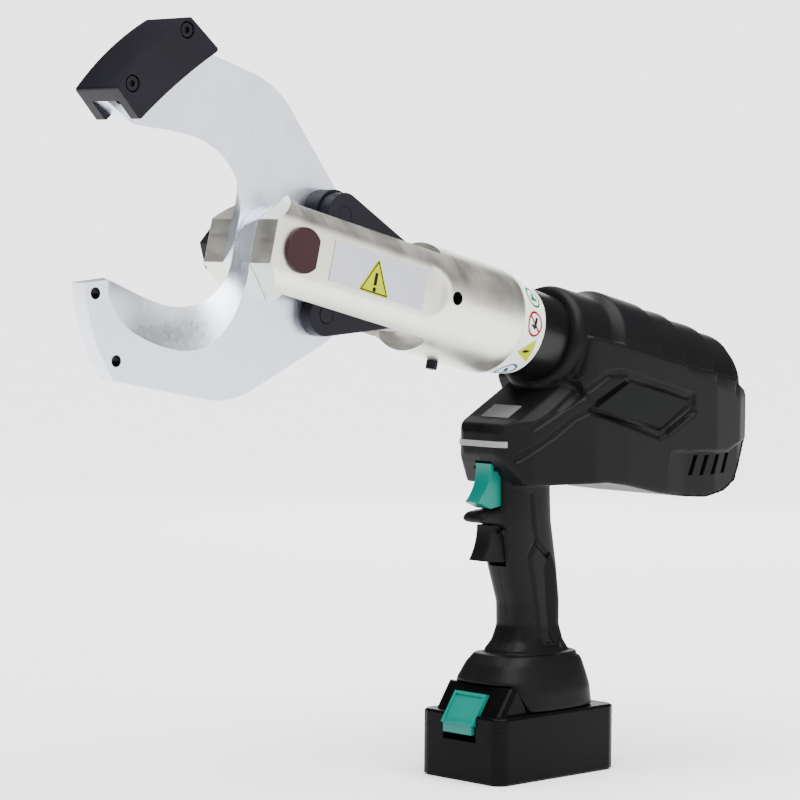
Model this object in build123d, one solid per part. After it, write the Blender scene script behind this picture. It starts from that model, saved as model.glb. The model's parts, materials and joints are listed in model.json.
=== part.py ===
from build123d import *
from math import cos, radians, sin, sqrt
import os

# Battery-powered hydraulic cable cutter with scissor jaws, in millimetres.
# The tool stands on its battery: the origin is the middle of the battery's flat base,
# +Z is up, the jaws point to -X and the tool's left side faces -Y.
# The head is drawn along its own barrel (X towards the handle, Y sideways, Z up, origin
# at the blade pivot) and then placed and pitched as one.

# --- driving dimensions -------------------------------------------------------------
PIVOT_X = -231.2            # blade pivot in the tool's frame
PIVOT_Z = 353.9
BARREL_PITCH = 13.6         # nose-up tilt of the barrel, degrees
RUN = 0.05                  # radial running clearance
SIDE_GAP = 0.3              # clearance between faces that slide past each other

BLADE_T = 12.0
CONTACT_GAP = 0.15          # half the gap between the two blades
TIP_ARC = [(157.3, 20.2), (157.2, 32.0), (154.6, 43.7)]   # tip's end, radius and angle
CLOSE_ANGLE = 45.0          # turn of each blade from open to closed
HUB_R = 28.0
HEEL = (38.0, 32.0)         # link pin in the blade's heel
HEEL_LOBE_R = 20.0
SPACER_R = 16.0
HEEL_SLOPE = (0.787, -0.617)   # direction of the blade's straight back
TIP_HOLE_R = 3.6
TIP_HOLES = [(-137.5, 59.5), (-112.5, 95.0)]

EAR_IN = 12.45              # fork ears, inner and outer faces
EAR_OUT = 31.0
FORK_FRONT = -24.0
BARREL_R = 36.2
BARREL_END = 190.0
FLAT_END = 110.5            # side flats run out into the round barrel from here
FLAT_BLEND = 12.0           # radius between a side flat and the round barrel
CONE_START = (200.5, 35.3)  # tapered end that carries the label band
CONE_END = (227.0, 29.9)
POCKET_START = -2.0         # link pocket through the barrel
POCKET_HALF = 22.5
POCKET_END = 128.0
POCKET_CORNER = 4.0
CYLINDER_R = 22.0
CYLINDER_START = 142.0

PIN_R = 10.0                # main pivot pin
PIN_HEAD_R = 14.4
PIN_HEAD_T = 2.8
LINK_PIN_R = 5.5
LINK_T = 9.5
LINK_HEEL_R = 14.0
LINK_TAIL_R = 9.0
CROSS_U = 116.0             # crosshead pins along the barrel, jaws open
CROSS_W = 12.0
ROD_R = 10.0
PISTON_U = (204.0, 218.0)

NECK_R = 30.0
NECK_END = 300.0

BATTERY_W = 75.4
BATTERY_L = 115.0
BATTERY_SEAM = 36.3
BATTERY_TOP = 45.0
CORNER_R = 9.0
WALL = 2.8                  # wall of the moulded covers

os.makedirs("parts", exist_ok=True)
on_barrel = Location((PIVOT_X, 0, PIVOT_Z), (0, BARREL_PITCH, 0))


# --- small helpers ------------------------------------------------------------------
def box(x0, x1, y0, y1, z0, z1):
    size = Box(x1 - x0, y1 - y0, z1 - z0)
    return Pos((x0 + x1) / 2, (y0 + y1) / 2, (z0 + z1) / 2) * size


def rod_x(x0, x1, r, y=0, z=0):
    return Pos((x0 + x1) / 2, y, z) * Rot(0, 90, 0) * Cylinder(r, x1 - x0)


def rod_y(y0, y1, r, x=0, z=0):
    return Pos(x, (y0 + y1) / 2, z) * Rot(90, 0, 0) * Cylinder(r, y1 - y0)


def rod_z(z0, z1, r, x=0, y=0):
    return Pos(x, y, (z0 + z1) / 2) * Cylinder(r, z1 - z0)


def side_plate(face, y0, y1):
    """A face drawn in (x, z), given thickness from y0 to y1."""
    return Pos(0, y1, 0) * Rot(90, 0, 0) * extrude(face, y1 - y0)


def polygon(points):
    return make_face(Polyline(*points, close=True))


def capsule(a, ra, b, rb):
    """Two circles of different radius joined by their outer tangents."""
    dx = b[0] - a[0]
    dz = b[1] - a[1]
    length = sqrt(dx * dx + dz * dz)
    along = (dx / length, dz / length)
    lean = (ra - rb) / length
    rise = sqrt(1 - lean * lean)
    corners = []
    for centre, radius, side in ((a, ra, 1), (b, rb, 1), (b, rb, -1), (a, ra, -1)):
        nx = along[0] * lean - side * along[1] * rise
        nz = along[1] * lean + side * along[0] * rise
        corners.append((centre[0] + radius * nx, centre[1] + radius * nz))
    return polygon(corners) + Pos(*a) * Circle(ra) + Pos(*b) * Circle(rb)


def hex_socket_screw(head_r, head_h, shank_r, shank_l, key):
    """Cap screw standing on z = 0 with its head above, shank below."""
    head = rod_z(0, head_h, head_r)
    socket = Pos(0, 0, head_h * 0.45) * extrude(RegularPolygon(key / 2, 6, major_radius=False), head_h)
    return head + rod_z(-shank_l, 0.1, shank_r) - socket


def mirrored_down(shape):
    """The same head piece for the other jaw: half a turn about the barrel's axis."""
    return Rot(180, 0, 0) * shape


# --- blades -------------------------------------------------------------------------
def blade_outline():
    tip_low, tip_mid, tip_high = [(-r * cos(radians(a)), r * sin(radians(a))) for r, a in TIP_ARC]
    back_a = (-34, 102.5)
    heel_top = (HEEL[0] - HEEL_LOBE_R * HEEL_SLOPE[1], HEEL[1] + HEEL_LOBE_R * HEEL_SLOPE[0])
    back_b = (heel_top[0] - 71.5 * HEEL_SLOPE[0], heel_top[1] - 71.5 * HEEL_SLOPE[1])
    tip = ThreePointArc(tip_low, tip_mid, tip_high)
    back = Line(tip_high, back_a)
    shoulder = ThreePointArc(back_a, (-19.5, 98.8), back_b)
    slope = Line(back_b, heel_top)
    rest = Polyline(heel_top, HEEL, (20, -5), (-20, -5), (-110, 30), tip_low)
    arm = make_face([tip, back, shoulder, slope, rest])
    return arm + Pos(*HEEL) * Circle(HEEL_LOBE_R) + Circle(HUB_R)


def jaw_cutter():
    """Opening of the jaw with its wide ground bevel: the edge at y = 0, the bevel's start outside."""
    edge = Spline((-28.6, 16), (-34, 32), (-58, 49.5), (-90, 51.5), (-124, 47))
    edge_wire = [edge, Polyline((-124, 47), (-152, 57), (-152, -30), (-28.6, -30), (-28.6, 16))]
    start = Spline((-24.5, 12), (-26.5, 42), (-44, 70), (-88, 78.5), (-118, 69), (-131, 50))
    start_wire = [start, Polyline((-131, 50), (-152, 57), (-152, -30), (-24.5, -30), (-24.5, 12))]
    inner = Rot(90, 0, 0) * make_face(edge_wire)
    outer = Pos(0, BLADE_T, 0) * Rot(90, 0, 0) * make_face(start_wire)
    return loft([inner, outer], ruled=True)


def make_blade():
    blade = side_plate(blade_outline(), 0, BLADE_T)
    blade -= jaw_cutter()
    blade -= rod_y(-1, BLADE_T + 1, PIN_R + RUN)
    blade -= rod_y(-1, BLADE_T + 1, LINK_PIN_R + RUN, *HEEL)
    for hole in TIP_HOLES:
        blade -= rod_y(-1, BLADE_T + 1, TIP_HOLE_R, *hole)
    return Pos(0, CONTACT_GAP, 0) * blade


# --- guide block on the upper tip ---------------------------------------------------
BLOCK_HALF = 20.0
BLOCK_OUTER = [(-156.5, 60.0), (-138.5, 88.5), (-112.5, 116.5)]
BLOCK_INNER = [(-135.5, 46.2), (-111.5, 76.5), (-85.5, 103.5)]
SLOT_R = 157.9              # reach of the slot the blade tips run in
SLOT_HALF = BLADE_T + CONTACT_GAP + SIDE_GAP
GIB_PLACES = [(-146.0, 65.6), (-113.0, 108.0)]
COUNTERBORE = 4.0


def make_guide_block():
    """A channel over the upper blade's tip; the lower tip runs into its free half."""
    outer = ThreePointArc(*BLOCK_OUTER)
    inner = ThreePointArc(*BLOCK_INNER)
    ends = [Line(BLOCK_INNER[0], BLOCK_OUTER[0]), Line(BLOCK_INNER[2], BLOCK_OUTER[2])]
    block = side_plate(make_face([outer, inner, *ends]), -BLOCK_HALF, BLOCK_HALF)
    block = fillet(block.edges().filter_by(Axis.Y), 1.8)
    block -= rod_y(-SLOT_HALF, BLADE_T + CONTACT_GAP + 0.02, SLOT_R)
    for x, z in GIB_PLACES:
        block -= rod_y(-BLOCK_HALF - 1, 0, 2.5, x, z)
        block -= rod_y(-BLOCK_HALF - 1, -BLOCK_HALF + COUNTERBORE, 5.4, x, z)
    for x, z in TIP_HOLES:
        block -= rod_y(0, BLOCK_HALF + 1, TIP_HOLE_R, x, z)
        block -= rod_y(BLOCK_HALF - COUNTERBORE, BLOCK_HALF + 1, 6.2, x, z)
    return block


def make_guide_screws():
    """Near side: short gib screws that steady the lower tip. Far side: screws into the upper blade."""
    screws = []
    seat = BLOCK_HALF - COUNTERBORE
    for x, z in GIB_PLACES:
        gib = hex_socket_screw(4.3, 3.6, 2.4, seat - SLOT_HALF, 4)
        screws.append(Pos(x, -seat, z) * Rot(90, 0, 0) * gib)
    for x, z in TIP_HOLES:
        fixing = hex_socket_screw(5.2, 3.6, TIP_HOLE_R - RUN, seat - 0.6, 5)
        screws.append(Pos(x, seat, z) * Rot(-90, 0, 0) * fixing)
    return Compound(children=screws)


# --- links and crosshead ------------------------------------------------------------
LINK_IN = 12.45
LINK_OUT = LINK_IN + LINK_T
CROSS_PIN = (CROSS_U, CROSS_W)


def link_plate(y0, y1):
    plate = side_plate(capsule(HEEL, LINK_HEEL_R, CROSS_PIN, LINK_TAIL_R), y0, y1)
    plate -= rod_y(y0 - 1, y1 + 1, LINK_PIN_R + 3 * RUN, *HEEL)
    plate -= rod_y(y0 - 1, y1 + 1, LINK_PIN_R + RUN, *CROSS_PIN)
    return plate


def make_link_plates():
    return Compound(children=[link_plate(-LINK_OUT, -LINK_IN), link_plate(LINK_IN, LINK_OUT)])


def make_heel_spacer():
    spacer = rod_y(-LINK_IN, -CONTACT_GAP, SPACER_R, *HEEL)
    return spacer - rod_y(-LINK_IN - 1, 0, LINK_PIN_R, *HEEL)


def make_heel_pin():
    return rod_y(-LINK_OUT, LINK_OUT, LINK_PIN_R, *HEEL)


def make_link_pin():
    return rod_y(-LINK_OUT, LINK_OUT, LINK_PIN_R, *CROSS_PIN)


TONGUE_HALF = 12.0
OPEN_PIVOT_U = 3.2          # spare room round the crosshead pins, along the barrel
OPEN_PIVOT_W = 4.4          # and across it


def pin_window(sign):
    room = SlotOverall(2 * (LINK_PIN_R + OPEN_PIVOT_W), 2 * (LINK_PIN_R + OPEN_PIVOT_U), rotation=90)
    face = Pos(CROSS_U, sign * CROSS_W) * room
    return side_plate(face, -TONGUE_HALF - 1, TONGUE_HALF + 1)


def make_crosshead():
    tongue = box(102, 126.5, -TONGUE_HALF, TONGUE_HALF, -25, 25)
    tongue = fillet(tongue.edges().filter_by(Axis.Y), 5)
    tongue -= pin_window(1)
    tongue -= pin_window(-1)
    return tongue


def make_piston_rod():
    rod = rod_x(126.5, PISTON_U[1], ROD_R - RUN)
    return rod - rod_x(PISTON_U[0] + 4, PISTON_U[1] + 1, 4)


def make_piston():
    piston = rod_x(*PISTON_U, CYLINDER_R - RUN)
    piston -= rod_x(PISTON_U[0] - 1, PISTON_U[1] + 1, ROD_R - RUN)
    groove = rod_x(209, 213, CYLINDER_R + 1) - rod_x(208, 214, CYLINDER_R - 3)
    return piston - groove


def make_piston_seal():
    return rod_x(209.2, 212.8, CYLINDER_R - RUN) - rod_x(209, 213, CYLINDER_R - 3)


def make_return_spring():
    wire_r = 1.6
    coil_r = 15.5
    start = CYLINDER_START + wire_r + 0.4
    end = PISTON_U[0] - wire_r - 0.4
    path = Helix(pitch=(end - start) / 9, height=end - start, radius=coil_r)
    profile = Plane(origin=path @ 0, z_dir=path % 0) * Circle(wire_r)
    coil = sweep(profile, path=path, is_frenet=True)
    return Pos(start, 0, 0) * Rot(0, 90, 0) * coil


def make_rod_gland():
    gland = rod_x(POCKET_END, CYLINDER_START, 15)
    return gland - rod_x(POCKET_END - 1, CYLINDER_START + 1, ROD_R)


# --- yoke and what sits on it -------------------------------------------------------
SIDE_HOLE_U = 135.0
SIDE_HOLE_W = 1.0
LOCK_SCREW_U = 158.0
LABEL_T = 0.25


def barrel_profile():
    start = FORK_FRONT - 6
    outline = Polyline((start, 0), (start, BARREL_R), (BARREL_END, BARREL_R))
    round_down = ThreePointArc((BARREL_END, BARREL_R), (BARREL_END + 5.6, BARREL_R - 0.25), CONE_START)
    tail = Polyline(CONE_START, CONE_END, (CONE_END[0], 0), (start, 0))
    return make_face([outline, round_down, tail])


def ear_profile():
    top = BARREL_R + 4
    return polygon([
        (FORK_FRONT, -13.9), (FORK_FRONT, 13.9), (-9.5, 28), (0, top),
        (CONE_END[0] + 1, top), (CONE_END[0] + 1, -top), (0, -top), (-9.5, -28),
    ])


def side_flat(sign):
    """What is milled off one side of the fork, running out into the round barrel."""
    end = (FLAT_END + 18.6, EAR_OUT + 6.4)
    run_out = ThreePointArc((FLAT_END, EAR_OUT), (FLAT_END + 9.3, EAR_OUT + 1.46), end)
    rest = Polyline(end, (end[0], 50), (-40, 50), (-40, EAR_OUT), (FLAT_END, EAR_OUT))
    cut = Pos(0, 0, -50) * extrude(make_face([run_out, rest]), 100)
    return cut if sign > 0 else mirror(cut, Plane.XZ)


def on_flat_rim(edge):
    middle = edge.center()
    return FORK_FRONT < middle.X < BARREL_END and abs(middle.Y) > EAR_OUT - 0.5


def make_barrel():
    """The turned outside of the yoke with a flat milled on each side and blended in."""
    barrel = revolve(Plane.XZ * barrel_profile(), Axis.X)
    barrel -= side_flat(-1)
    barrel -= side_flat(1)
    return fillet(barrel.edges().filter_by(on_flat_rim), FLAT_BLEND)


def make_yoke_body():
    yoke = make_barrel() & side_plate(ear_profile(), -50, 50)
    yoke -= box(FORK_FRONT - 7, 40, -EAR_IN, EAR_IN, -50, 50)
    pocket = box(POCKET_START, POCKET_END, -POCKET_HALF, POCKET_HALF, -50, 50)
    pocket = fillet(pocket.edges().filter_by(Axis.Z).group_by(Axis.X)[-1], POCKET_CORNER)
    yoke -= pocket - rod_y(-40, 40, HUB_R - 4)
    yoke -= rod_x(POCKET_END - 1, CYLINDER_START + 1, 15)
    yoke -= rod_x(CYLINDER_START, CONE_END[0] + 1, CYLINDER_R)
    yoke -= rod_x(221.2, 223.8, 23.6)
    yoke -= rod_y(-40, 40, PIN_R)
    yoke -= rod_y(-BARREL_R - 2, -BARREL_R + 7, 4.5, SIDE_HOLE_U, SIDE_HOLE_W)
    yoke -= rod_z(-BARREL_R - 2, -BARREL_R + 8, 2.5, LOCK_SCREW_U)
    return yoke


def make_pivot_pin():
    head = rod_y(-EAR_OUT - PIN_HEAD_T, -EAR_OUT, PIN_HEAD_R)
    head -= box(11.6, 20, -40, -EAR_OUT + 1, -20, 20)
    return head + rod_y(-EAR_OUT, EAR_OUT + 19, PIN_R)


def make_pivot_nut():
    nut = side_plate(RegularPolygon(15, 6, major_radius=False), EAR_OUT, EAR_OUT + 16)
    return nut - rod_y(EAR_OUT - 1, EAR_OUT + 17, PIN_R)


def make_name_plate():
    return box(25.8, 110, -EAR_OUT - 0.5, -EAR_OUT, -13.2, 13.2)


def make_caution_label():
    face = RegularPolygon(15.6, 3, rotation=90)
    face = Pos(65, -4.9) * fillet(face.vertices(), 1.5)
    return side_plate(face, -EAR_OUT - 0.7, -EAR_OUT - 0.5)


def make_label_ring():
    near = (CONE_START[0] + 0.4, CONE_START[1] - 0.07)
    far = (CONE_END[0] - 0.6, CONE_END[1] + 0.14)
    band = polygon([near, far, (far[0], far[1] + LABEL_T), (near[0], near[1] + LABEL_T)])
    return revolve(Plane.XZ * band, Axis.X)


def make_lock_screw():
    screw = hex_socket_screw(3.8, 6, 2.5, 7.5, 3)
    return Pos(LOCK_SCREW_U, 0, -BARREL_R) * Rot(180, 0, 0) * screw


def make_swivel_ring():
    return rod_x(221.5, 223.5, 23.6) - rod_x(221, 224, 21.1)


def make_neck_tube():
    neck = rod_x(CONE_END[0] + SIDE_GAP, NECK_END, NECK_R)
    neck += rod_x(218.5, CONE_END[0] + SIDE_GAP + 1, CYLINDER_R - RUN)
    neck -= rod_x(221, 224, 23) - rod_x(220, 225, 20.6)
    neck -= rod_x(216, NECK_END + 1, 5)
    return neck


head_pieces = {
    "yoke_body": make_yoke_body(),
    "name_plate": make_name_plate(),
    "caution_label": make_caution_label(),
    "label_ring": make_label_ring(),
    "lock_screw": make_lock_screw(),
    "swivel_ring": make_swivel_ring(),
    "rod_gland": make_rod_gland(),
    "pivot_pin": make_pivot_pin(),
    "pivot_nut": make_pivot_nut(),
    "blade_upper": make_blade(),
    "blade_lower": mirrored_down(make_blade()),
    "guide_block": make_guide_block(),
    "guide_screws": make_guide_screws(),
    "link_plates_upper": make_link_plates(),
    "link_plates_lower": mirrored_down(make_link_plates()),
    "heel_spacer_upper": make_heel_spacer(),
    "heel_spacer_lower": mirrored_down(make_heel_spacer()),
    "heel_pin_upper": make_heel_pin(),
    "heel_pin_lower": mirrored_down(make_heel_pin()),
    "link_pin_upper": make_link_pin(),
    "link_pin_lower": mirrored_down(make_link_pin()),
    "crosshead": make_crosshead(),
    "piston_rod": make_piston_rod(),
    "piston": make_piston(),
    "piston_seal": make_piston_seal(),
    "return_spring": make_return_spring(),
    "neck_tube": make_neck_tube(),
}


# --- housing ------------------------------------------------------------------------
HOUSE_SIDE = [
    (24, 322), (36, 327), (52, 325.5), (72, 322), (112, 312), (146, 301), (173, 289), (191, 273),
    (200, 251), (200, 222), (191, 214.5), (186, 205), (179, 192), (166, 185), (142, 181.5),
    (120, 183), (94, 187), (58, 194.5), (40, 197), (-24, 196), (-37, 212), (-42, 218), (-42, 233),
    (-38, 238), (-27, 242.5), (12, 264), (20, 270),
]
HOUSE_PLAN = [
    (-43, -13), (-39, -21), (-20, -31), (28, -43), (60, -45), (150, -45), (184, -38), (204, -26),
]
HOUSE_HALF = 45.0
HOUSE_TOP_R = 30.0
HOUSE_FOOT_R = 16.0
WINDOW_TILT = -29.0         # slope of the nose that carries the window
NOSE_HALF = 24.0

GRIP_SECTIONS = [            # height, front, back, half width
    (199, -29, 16, 18),
    (171, -28, 18, 17.5),
    (142, -23, 25, 17),
    (116, -14, 28, 16.5),
    (100, -13.5, 28, 16.5),
    (84, -24, 36, 19),
    (76, -33, 42, 24),
]
FOOT_SECTIONS = [
    (76, -33, 42, 25),
    (65, -43, 47, 32),
    (BATTERY_TOP + 0.4, -43, 50, 36.5),
]
FOOT_FRONT = [(-70, 63.4), (-35, 63.4), (-23.6, 45), (-23.6, 40), (-70, 40)]


def pulled_in(face, inset):
    return offset(face, -inset, kind=Kind.INTERSECTION) if inset else face


def plan_outline():
    near = HOUSE_PLAN
    far = [(x, -y) for x, y in reversed(HOUSE_PLAN)]
    return polygon(near + far)


def cross_section(inset):
    wide = 2 * (HOUSE_HALF - inset)
    low = 178 + inset
    top = 327.5 - inset
    lower = Pos(0, (low + 270) / 2) * RectangleRounded(wide, 270 - low, HOUSE_FOOT_R)
    upper = Pos(0, (210 + top) / 2) * RectangleRounded(wide, top - 210, HOUSE_TOP_R)
    return lower + upper


def nose_flank(inset, sign):
    """Wedge taken off each side of the sloping nose."""
    edge = NOSE_HALF - inset
    outline = [(edge, 0), (62, -30), (62, 60), (edge, 60)]
    wedge = extrude(Plane.YZ * polygon([(sign * y, z - inset) for y, z in outline]), 71)
    return Pos(-45, 0, 232.5) * Rot(0, WINDOW_TILT, 0) * wedge


def housing_block(inset):
    """Side view, plan and cross-section of the motor housing, each pulled in by the inset."""
    side = Rot(90, 0, 0) * extrude(pulled_in(polygon(HOUSE_SIDE), inset), 50, both=True)
    plan = extrude(pulled_in(plan_outline(), inset), 400, both=True)
    across = Pos(-60, 0, 0) * extrude(Plane.YZ * cross_section(inset), 300)
    return (side & plan & across) - nose_flank(inset, -1) - nose_flank(inset, 1)


def stack(sections, inset):
    """Rounded rectangles at each height, joined by straight walls."""
    faces = []
    for z, front, back, half in sections:
        wide = 2 * (half - inset)
        long = back - front - 2 * inset
        corner = min(wide, long) * 0.36
        faces.append(Pos((front + back) / 2, 0, z) * RectangleRounded(long, wide, corner))
    return loft(faces, ruled=True)


TRIGGER_HALF = 7.0
TRIGGER_PIVOT = (-33.0, 207.5)
RETRACT_PIVOT = (-29.0, 165.5)
TRIGGER_PIN_R = 1.5
TRIGGER_ROOM = 7.8
LEDGE = [(-20, 180), (-46, 178.5), (-49, 175), (-45, 171), (-20, 171)]
PAD_OUTLINE = [(5, 140), (11, 150), (17, 140), (23, 112), (24, 92), (15, 88), (11, 93), (8, 112)]
BADGE_OUTLINE = [(25, 248), (59, 265), (121, 250), (91, 233)]
BADGE_PROUD = 0.4
SCREW_PLACES = [(-31, 222), (60, 206), (190, 232), (150, 291), (80, 312), (12, 207), (18, 90)]
BOSS_R = 4.5
SCREW_R = 1.6


def side_view_solid(points, half):
    return side_plate(polygon(points), -half, half)


def outer_skin():
    neck_bore = on_barrel * rod_x(200, NECK_END + 8, NECK_R + 0.4)
    foot = stack(FOOT_SECTIONS, 0) - side_view_solid(FOOT_FRONT, 50)
    skin = housing_block(0) + stack(GRIP_SECTIONS, 0) + foot + side_view_solid(LEDGE, 10)
    return skin - neck_bore


def inner_space():
    motor_room = housing_block(WALL) & box(-60, 230, -60, 60, 184, 400)
    motor_room -= on_barrel * rod_x(190, NECK_END, NECK_R + 4)
    grip_room = stack([section for section in GRIP_SECTIONS if section[0] > 80], WALL)
    foot_room = box(-17, 38, -24, 24, BATTERY_TOP - 5, 68)
    rail_way = box(-60, 44, -20.5, 20.5, BATTERY_TOP - 5, 58)
    trigger_way = box(-60, -16, -TRIGGER_ROOM, TRIGGER_ROOM, 181, 213)
    retract_way = box(-60, -16, -TRIGGER_ROOM, TRIGGER_ROOM, 142, 171)
    return motor_room + grip_room + foot_room + rail_way + trigger_way + retract_way


def make_led_lens():
    """Light strip round the front of the nose, flush with the skin."""
    band = box(-50, -37, -40, 40, 223, 227)
    return (housing_block(0) - housing_block(WALL)) & band


def make_nose_window():
    return Pos(-20.3, 0, 245.4) * Rot(0, WINDOW_TILT, 0) * Box(15.4, 25, 1.8)


def make_side_badges():
    near = side_plate(polygon(BADGE_OUTLINE), -HOUSE_HALF - BADGE_PROUD, -HOUSE_HALF + 1.2)
    far = side_plate(polygon(BADGE_OUTLINE), HOUSE_HALF - 1.2, HOUSE_HALF + BADGE_PROUD)
    return Compound(children=[near, far])


def make_grip_pads():
    skin = stack(GRIP_SECTIONS, 0) - stack(GRIP_SECTIONS, 1.2)
    near = skin & side_plate(polygon(PAD_OUTLINE), -40, -5)
    far = skin & side_plate(polygon(PAD_OUTLINE), 5, 40)
    return Compound(children=[near, far])


def vent_slots():
    slots = []
    for step in range(4):
        x = 122 + 12 * step
        outline = [(x, 199), (x + 5, 212), (x + 9, 212), (x + 4, 199)]
        slots.append(side_view_solid(outline, 60))
    return slots


def make_housing():
    skin = outer_skin()
    shell = skin - inner_space()
    for x, z in SCREW_PLACES:
        shell += rod_y(-50, 50, BOSS_R, x, z) & skin
        shell -= rod_y(-16, 50, SCREW_R + 0.05, x, z)
        shell -= rod_y(14, 50, 3.2, x, z)
    for slot in vent_slots():
        shell -= slot
    shell -= make_led_lens()
    shell -= make_nose_window()
    shell -= make_side_badges()
    shell -= make_grip_pads()
    shell -= rod_y(-12, 12, TRIGGER_PIN_R, *TRIGGER_PIVOT)
    shell -= rod_y(-12, 12, TRIGGER_PIN_R, *RETRACT_PIVOT)
    return shell


def make_housing_screws():
    screws = []
    for x, z in SCREW_PLACES:
        screw = rod_y(-15, 14, SCREW_R, x, z) + rod_y(14, 16.4, 2.9, x, z)
        screws.append(screw)
    return Compound(children=screws)


def make_trigger():
    hook = ThreePointArc((-38, 211.5), (-39.8, 197.5), (-48, 186))
    rest = Polyline((-48, 186), (-37, 181.3), (-25.5, 183), (-25.5, 203), (-32, 212), (-38, 211.5))
    body = side_plate(make_face([hook, rest]), -TRIGGER_HALF, TRIGGER_HALF)
    body = fillet(body.edges().filter_by(GeomType.CIRCLE), 1.4)
    return body - rod_y(-12, 12, TRIGGER_PIN_R + RUN, *TRIGGER_PIVOT)


def make_retract_trigger():
    hook = ThreePointArc((-36.5, 170), (-38, 158.5), (-44, 146.5))
    rest = Polyline((-44, 146.5), (-23, 144.5), (-20.5, 160), (-24, 170), (-36.5, 170))
    body = side_plate(make_face([hook, rest]), -TRIGGER_HALF, TRIGGER_HALF)
    body = fillet(body.edges().filter_by(GeomType.CIRCLE), 1.4)
    return body - rod_y(-12, 12, TRIGGER_PIN_R + RUN, *RETRACT_PIVOT)


def make_trigger_pin():
    return rod_y(-11.5, 11.5, TRIGGER_PIN_R, *TRIGGER_PIVOT)


def make_retract_pin():
    return rod_y(-11.5, 11.5, TRIGGER_PIN_R, *RETRACT_PIVOT)


# --- drive, pump and electrics inside the housing -----------------------------------
PLUNGER_U = 331.0
PLUNGER_R = 4.0
ECCENTRIC = 1.5
SHAFT_R = 6.0
ROTOR_SHAFT_R = 3.0


def make_pump_block():
    block = box(NECK_END, 342, -18, 18, -23, 20)
    block = fillet(block.edges().filter_by(Axis.X), 4)
    block -= rod_x(322, 343, 11)
    block -= rod_z(-21.5, 0, PLUNGER_R + RUN, PLUNGER_U)
    return block - rod_x(NECK_END - 1, 323, 2.5)


def make_pump_plunger():
    return rod_z(-19, -8.8, PLUNGER_R, PLUNGER_U)


def make_eccentric_shaft():
    cam = rod_x(324, 339, 7, z=-ECCENTRIC)
    return cam + rod_x(338, 352, SHAFT_R)


def make_gearbox_housing():
    can = rod_x(342, 363, 23) - rod_x(346, 359, 19)
    can -= rod_x(341, 347, SHAFT_R + RUN)
    return can - rod_x(358, 364, ROTOR_SHAFT_R + 0.5)


def make_motor_can():
    can = rod_x(363, 420, 20) - rod_x(365, 418, 18)
    return can - rod_x(362, 421, 7)


def make_motor_bearings():
    rings = []
    for start in (363.5, 415.5):
        rings.append(rod_x(start, start + 4, 7) - rod_x(start - 1, start + 5, ROTOR_SHAFT_R + RUN))
    return Compound(children=rings)


def make_motor_rotor():
    return rod_x(372, 410, 15) + rod_x(360, 428, ROTOR_SHAFT_R)


def make_motor_fan():
    fan = rod_x(422, 427, 6) - rod_x(421, 428, ROTOR_SHAFT_R)
    for blade in range(9):
        fan += Rot(40 * blade, 0, 0) * box(422, 427, -0.8, 0.8, 5, 16)
    return fan


def make_oil_bladder():
    bag = box(306, 352, -22, 22, -46, -26)
    return fillet(bag.edges(), 6)


def make_relief_valve():
    return rod_y(18, 27, 5, 312, 4) + rod_y(27, 30, 7, 312, 4)


def make_circuit_board():
    return box(40, 118, -26, 26, 213, 214.6)


def make_switch_body():
    return box(-15, 11, -9, 9, 174, 196)


def make_terminal_block():
    return box(-12, 30, -15, 15, 58.5, 66)


drive_pieces = {
    "pump_block": make_pump_block(),
    "pump_plunger": make_pump_plunger(),
    "eccentric_shaft": make_eccentric_shaft(),
    "gearbox_housing": make_gearbox_housing(),
    "motor_can": make_motor_can(),
    "motor_bearings": make_motor_bearings(),
    "motor_rotor": make_motor_rotor(),
    "motor_fan": make_motor_fan(),
    "oil_bladder": make_oil_bladder(),
    "relief_valve": make_relief_valve(),
}


# --- battery ------------------------------------------------------------------------
BATTERY_WALL = 2.5
CELL_R = 9.1
CELL_L = 65.0
POST_PLACES = [(sx * 53.0, sy * 32.8) for sx in (-1, 1) for sy in (-1, 1)]
TOWER = [(-54, 40), (-38.6, 62.8), (-35.4, 62.8), (-24.2, 45), (-24.2, 40)]
LATCH_PLATE = [(-60.8, 38.6), (-47.2, 58.4), (-44.0, 57.4), (-57.0, 37.4)]
LATCH_HALF = 14.7
LATCH_TRAVEL = 3.5


def rounded_tray(z0, z1, inset):
    outline = RectangleRounded(BATTERY_L - 2 * inset, BATTERY_W - 2 * inset, CORNER_R - inset)
    return Pos(0, 0, z0) * extrude(outline, z1 - z0)


def make_battery_lower_case():
    case = rounded_tray(0, BATTERY_SEAM, 0)
    case = chamfer(case.edges().group_by(Axis.Z)[0], 1.5)
    case -= rounded_tray(BATTERY_WALL, BATTERY_SEAM + 1, BATTERY_WALL)
    for x, y in POST_PLACES:
        case += rod_z(1, BATTERY_SEAM - 0.5, 3.4, x, y)
        case -= rod_z(-1, BATTERY_SEAM, SCREW_R + 0.05, x, y)
        case -= rod_z(-1, 5, 2.8, x, y)
    return case - make_latch_room()


def make_latch_room():
    """Everything the latch sweeps as it is pressed down, with clearance."""
    half = LATCH_HALF + 0.6
    low = 38.6 - LATCH_TRAVEL - 1
    slope = [(-64, low), (-64, 60), (-47.5, 60), (-43, 60), (-43, 57.4 - LATCH_TRAVEL - 1), (-55, low)]
    return side_view_solid(slope, half) + box(-60, -54, -half, half, 27, 40)


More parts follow.
